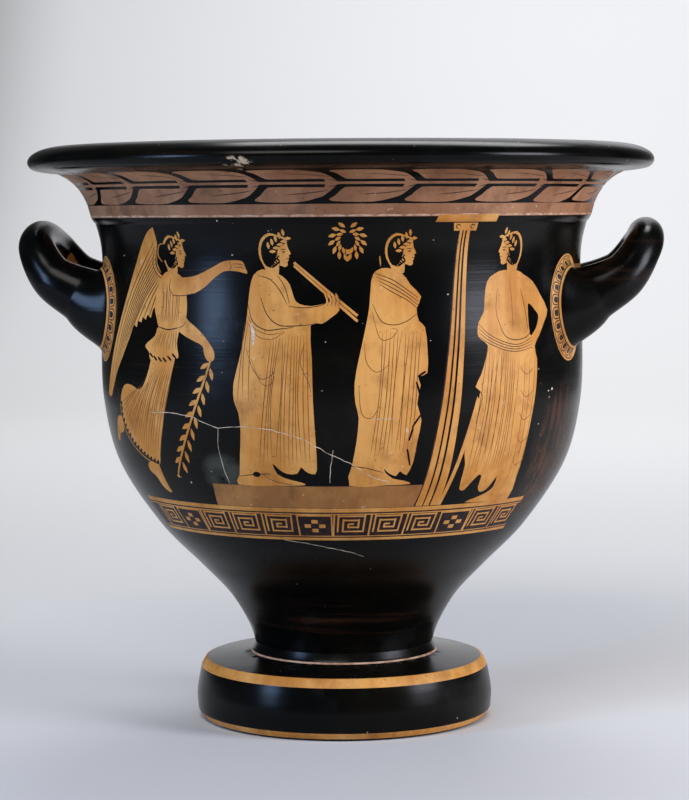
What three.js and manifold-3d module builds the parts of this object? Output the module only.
// Greek bell krater: one thrown and fired clay body with a stemmed foot, an
// open bell-shaped bowl under a wide rolled lip, and two upturned loop handles
// luted onto its wall. Millimetres, +Z up, origin at the centre of the plane
// that the foot ring rests on. The pictured side faces -Y, the handles +X and -X.
import * as THREE from 'three';
import { mergeVertices } from 'three/addons/utils/BufferGeometryUtils.js';
import Module from 'manifold-3d';

const wasm = await Module();
wasm.setup();

// ---- driving dimensions -------------------------------------------------
const HEIGHT = 368;
const LIP_RADIUS = 200;
const LIP_UNDERSIDE = 351;
const LIP_INNER_RADIUS = 171;

const FOOT_RADIUS = 94.1;
const FOOT_REST_OUTER = 90.5;
const FOOT_REST_INNER = 78;
const FOOT_BAND_TOP = 5.3;
const FOOT_SIDE_TOP = 33.4;
const FOOT_TOP = 38.4;
const FOOT_JOIN_RADIUS = 60.5;
const FOOT_JOIN_HEIGHT = 42.3;
const RECESS_TOP = 49;

const STEM_RADIUS = 57.5;
const STEM_HEIGHT = 48.5;
const BOWL_FLOOR = 62;
const BOWL_RADIUS = 154.6;
const SHOULDER_HEIGHT = 319.4;
const SHOULDER_RADIUS = 155.1;
const FILLET_TOP = 330;
const FILLET_RADIUS = 161.8;

const WALL = 7.6;

const ROOT_HEIGHT = 267.5;
const ROOT_ANGLE = THREE.MathUtils.degToRad(19.7);
const ROOT_HALF_WIDTH = 20;
const ROOT_HALF_HEIGHT = 24;
const ROOT_BURIED = 4;
const ROOT_OVERLAP = 1.2;
const LOOP_REACH = 194.5;
const LOOP_TOP = 310;

const SEGMENTS = 52;
const HANDLE_SIDES = 14;
const FLARE_STEPS = 3;
const LOOP_STEPS = 18;

// ---- body of revolution ---------------------------------------------------
// Each stretch of the profile is a list of (radius, height) points.
const at = (radius, height) => new THREE.Vector2(radius, height);
const smooth = (stations, steps) => new THREE.SplineCurve(stations).getPoints(steps);

// The underside is hollow, from the resting ring up into the stem.
function underside() {
  return [
    at(0, RECESS_TOP),
    ...smooth([
      at(24, RECESS_TOP - 1),
      at(45, RECESS_TOP - 7),
      at(60, RECESS_TOP - 16),
      at(72, RECESS_TOP - 19),
      at(FOOT_REST_INNER + 2, 24),
      at(FOOT_REST_INNER + 2, 8),
      at(FOOT_REST_INNER, 0),
    ], 7),
  ];
}

// A thick disc foot: a reserved band below, a swelling side, a bevel, and a
// gently sloping top up to the stem.
function footOutside() {
  return [
    at(FOOT_REST_OUTER, 0),
    at(FOOT_REST_OUTER + 0.8, 1.3),
    ...smooth([
      at(FOOT_RADIUS - 0.7, FOOT_BAND_TOP),
      at(FOOT_RADIUS, 16),
      at(FOOT_RADIUS - 1.4, 26),
      at(FOOT_RADIUS - 2.4, FOOT_SIDE_TOP),
    ], 4),
    at(FOOT_RADIUS - 5.1, FOOT_TOP),
    at(FOOT_JOIN_RADIUS, FOOT_JOIN_HEIGHT),
  ];
}

// The stem flares into a deep bell: narrow base, widest at two thirds of the
// height, then very slightly drawn in below the shoulder.
function bowlOutside() {
  return smooth([
    at(STEM_RADIUS, STEM_HEIGHT),
    at(62, 61.5),
    at(73.7, 81),
    at(92.1, 100.6),
    at(117.7, 126.9),
    at(143.1, 165.9),
    at(153.1, 204.6),
    at(BOWL_RADIUS, 242),
    at(BOWL_RADIUS - 1.6, 288),
    at(SHOULDER_RADIUS, SHOULDER_HEIGHT),
  ], 18);
}

// A raised fillet, the concave neck above it, and the rolled lip.
function neckAndLip() {
  const neck = new THREE.QuadraticBezierCurve(
    at(FILLET_RADIUS, FILLET_TOP),
    at(FILLET_RADIUS + 5.7, LIP_UNDERSIDE - 5),
    at(LIP_RADIUS - 18, LIP_UNDERSIDE),
  );
  const lip = smooth([
    at(LIP_RADIUS - 18, LIP_UNDERSIDE),
    at(LIP_RADIUS - 9, LIP_UNDERSIDE + 0.9),
    at(LIP_RADIUS - 2.6, LIP_UNDERSIDE + 2.7),
    at(LIP_RADIUS, LIP_UNDERSIDE + 7),
    at(LIP_RADIUS - 2.4, HEIGHT - 5.5),
    at(LIP_RADIUS - 9.5, HEIGHT - 1.8),
    at(LIP_RADIUS - 20, HEIGHT),
    at(LIP_INNER_RADIUS, HEIGHT - 1.6),
  ], 14);
  return [
    at(SHOULDER_RADIUS + 1.3, SHOULDER_HEIGHT + 1),
    at(SHOULDER_RADIUS + 3.5, SHOULDER_HEIGHT + 3.4),
    ...neck.getPoints(5),
    ...lip.slice(1),
  ];
}

// The inside follows the outside at the thickness of the wall.
function bowlInside() {
  return [
    ...smooth([
      at(LIP_INNER_RADIUS - 8, HEIGHT - 13),
      at(FILLET_RADIUS - 9.3, FILLET_TOP + 3),
      at(SHOULDER_RADIUS - 9, SHOULDER_HEIGHT - 8),
      at(BOWL_RADIUS - 1.6 - WALL, 285),
      at(BOWL_RADIUS - WALL, 242),
      at(153.1 - WALL, 204.6),
      at(134.1, 165.9),
      at(105.6, 126.9),
      at(78, 100.6),
      at(STEM_RADIUS + 1.5, BOWL_FLOOR + 18.5),
      at(40, BOWL_FLOOR + 7),
      at(20, BOWL_FLOOR + 1.6),
      at(0, BOWL_FLOOR),
    ], 12),
  ];
}

// ---- loop handles ---------------------------------------------------------
// Radius of the bowl's outside at a height.
function wallRadius(height) {
  const profile = bowlOutside();
  const upper = profile.findIndex((point) => point.y >= height);
  const low = profile[upper - 1];
  const high = profile[upper];
  return THREE.MathUtils.mapLinear(height, low.y, high.y, low.x, high.x);
}

// Where a loop's section stands: its centre and its half sizes, across the
// loop and through it. The run is 0 at the near root and 1 at the far root.
const loopCentre = new THREE.CatmullRomCurve3([
  new THREE.Vector3(161, -46, 275.5),
  new THREE.Vector3(180, -43, 286),
  new THREE.Vector3(LOOP_REACH - 2.5, -31, 303),
  new THREE.Vector3(LOOP_REACH, 0, LOOP_TOP),
  new THREE.Vector3(LOOP_REACH - 2.5, 31, 303),
  new THREE.Vector3(180, 43, 286),
  new THREE.Vector3(161, 46, 275.5),
], false, 'catmullrom', 0.5);
const ARM_HALF_ACROSS = 15.5;
const ARM_HALF_THROUGH = 18.3;
const BOW_HALF = 11.4;

// A point on the loop's skin; a and b run over the unit disc, a outwards from
// the loop and b upwards.
function loopPoint(run, a, b) {
  const centre = loopCentre.getPoint(run);
  const along = loopCentre.getTangent(run);
  const up = new THREE.Vector3(0, 0, 1).addScaledVector(along, -along.z).normalize();
  const outwards = new THREE.Vector3().crossVectors(along, up);
  const nearRoot = (2 * run - 1) ** 2;
  const across = THREE.MathUtils.lerp(BOW_HALF, ARM_HALF_ACROSS, nearRoot);
  const through = THREE.MathUtils.lerp(BOW_HALF, ARM_HALF_THROUGH, nearRoot);
  return centre.addScaledVector(outwards, a * across).addScaledVector(up, b * through);
}

// A point of the oval where a root meets the wall, sunk into it by a depth.
function rootPoint(end, a, b, depth) {
  const height = ROOT_HEIGHT + b * ROOT_HALF_HEIGHT;
  const angle = end * (ROOT_ANGLE + a * ROOT_HALF_WIDTH / BOWL_RADIUS);
  const radius = wallRadius(height) - depth;
  return new THREE.Vector3(radius * Math.cos(angle), radius * Math.sin(angle), height);
}

// The root flares from the loop's first section down onto the wall.
function flarePoint(end, share, a, b) {
  const run = end < 0 ? 0 : 1;
  const onLoop = loopPoint(run, a, b);
  const onWall = rootPoint(end, a, b, ROOT_OVERLAP);
  const back = onLoop.clone().sub(loopPoint(run - 0.02 * end, a, b)).normalize();
  const bend = onLoop.clone().addScaledVector(back, 0.45 * onLoop.distanceTo(onWall));
  return new THREE.QuadraticBezierCurve3(onWall, bend, onLoop).getPoint(share);
}

// Row 0 lies inside the wall, the next rows are the flare, then the loop.
function handleRow(row, a, b) {
  const last = 2 * FLARE_STEPS + LOOP_STEPS + 2;
  const end = row <= last / 2 ? -1 : 1;
  const fromRoot = end < 0 ? row : last - row;
  if (fromRoot === 0) return rootPoint(end, a, b, ROOT_BURIED);
  if (fromRoot <= FLARE_STEPS) return flarePoint(end, (fromRoot - 1) / FLARE_STEPS, a, b);
  return loopPoint((row - 1 - FLARE_STEPS) / LOOP_STEPS, a, b);
}

// A capped cylinder, its rows carried onto the handle's sections.
function handle() {
  const rows = 2 * FLARE_STEPS + LOOP_STEPS + 2;
  const geometry = new THREE.CylinderGeometry(1, 1, rows, HANDLE_SIDES, rows);
  const position = geometry.attributes.position;
  for (let i = 0; i < position.count; i += 1) {
    const row = Math.round(rows / 2 + position.getY(i));
    const point = handleRow(row, position.getX(i), position.getZ(i));
    position.setXYZ(i, point.x, point.y, point.z);
  }
  return geometry;
}

// ---- one fired piece --------------------------------------------------------
// A closed solid from a geometry: shared corners merged, empty triangles
// dropped.
function solid(geometry) {
  const bare = geometry.clone();
  bare.deleteAttribute('normal');
  bare.deleteAttribute('uv');
  const merged = mergeVertices(bare, 1e-4);
  const corners = [];
  for (let i = 0; i < merged.index.count; i += 3) {
    const [p, q, r] = [0, 1, 2].map((k) => merged.index.getX(i + k));
    if (p !== q && q !== r && r !== p) corners.push(p, q, r);
  }
  return new wasm.Manifold(new wasm.Mesh({
    numProp: 3,
    vertProperties: new Float32Array(merged.attributes.position.array),
    triVerts: new Uint32Array(corners),
  }));
}

function toGeometry(manifold) {
  const mesh = manifold.getMesh();
  const geometry = new THREE.BufferGeometry();
  geometry.setAttribute('position', new THREE.BufferAttribute(mesh.vertProperties, 3));
  geometry.setIndex(new THREE.BufferAttribute(mesh.triVerts, 1));
  geometry.computeVertexNormals();
  return geometry;
}

function body() {
  const profile = [...underside(), ...footOutside(), ...bowlOutside(), ...neckAndLip(), ...bowlInside()];
  const geometry = new THREE.LatheGeometry(profile, SEGMENTS);
  geometry.rotateX(Math.PI / 2);
  return solid(geometry);
}

const rightHandle = handle();
const leftHandle = handle().rotateZ(Math.PI);
const fired = body().add(solid(rightHandle)).add(solid(leftHandle));

const blackGloss = new THREE.MeshStandardMaterial({ color: 0x17171a, roughness: 0.3, metalness: 0 });
const krater = new THREE.Mesh(toGeometry(fired), blackGloss);
krater.name = 'krater';

const part = new THREE.Group();
part.add(krater);
export default part;
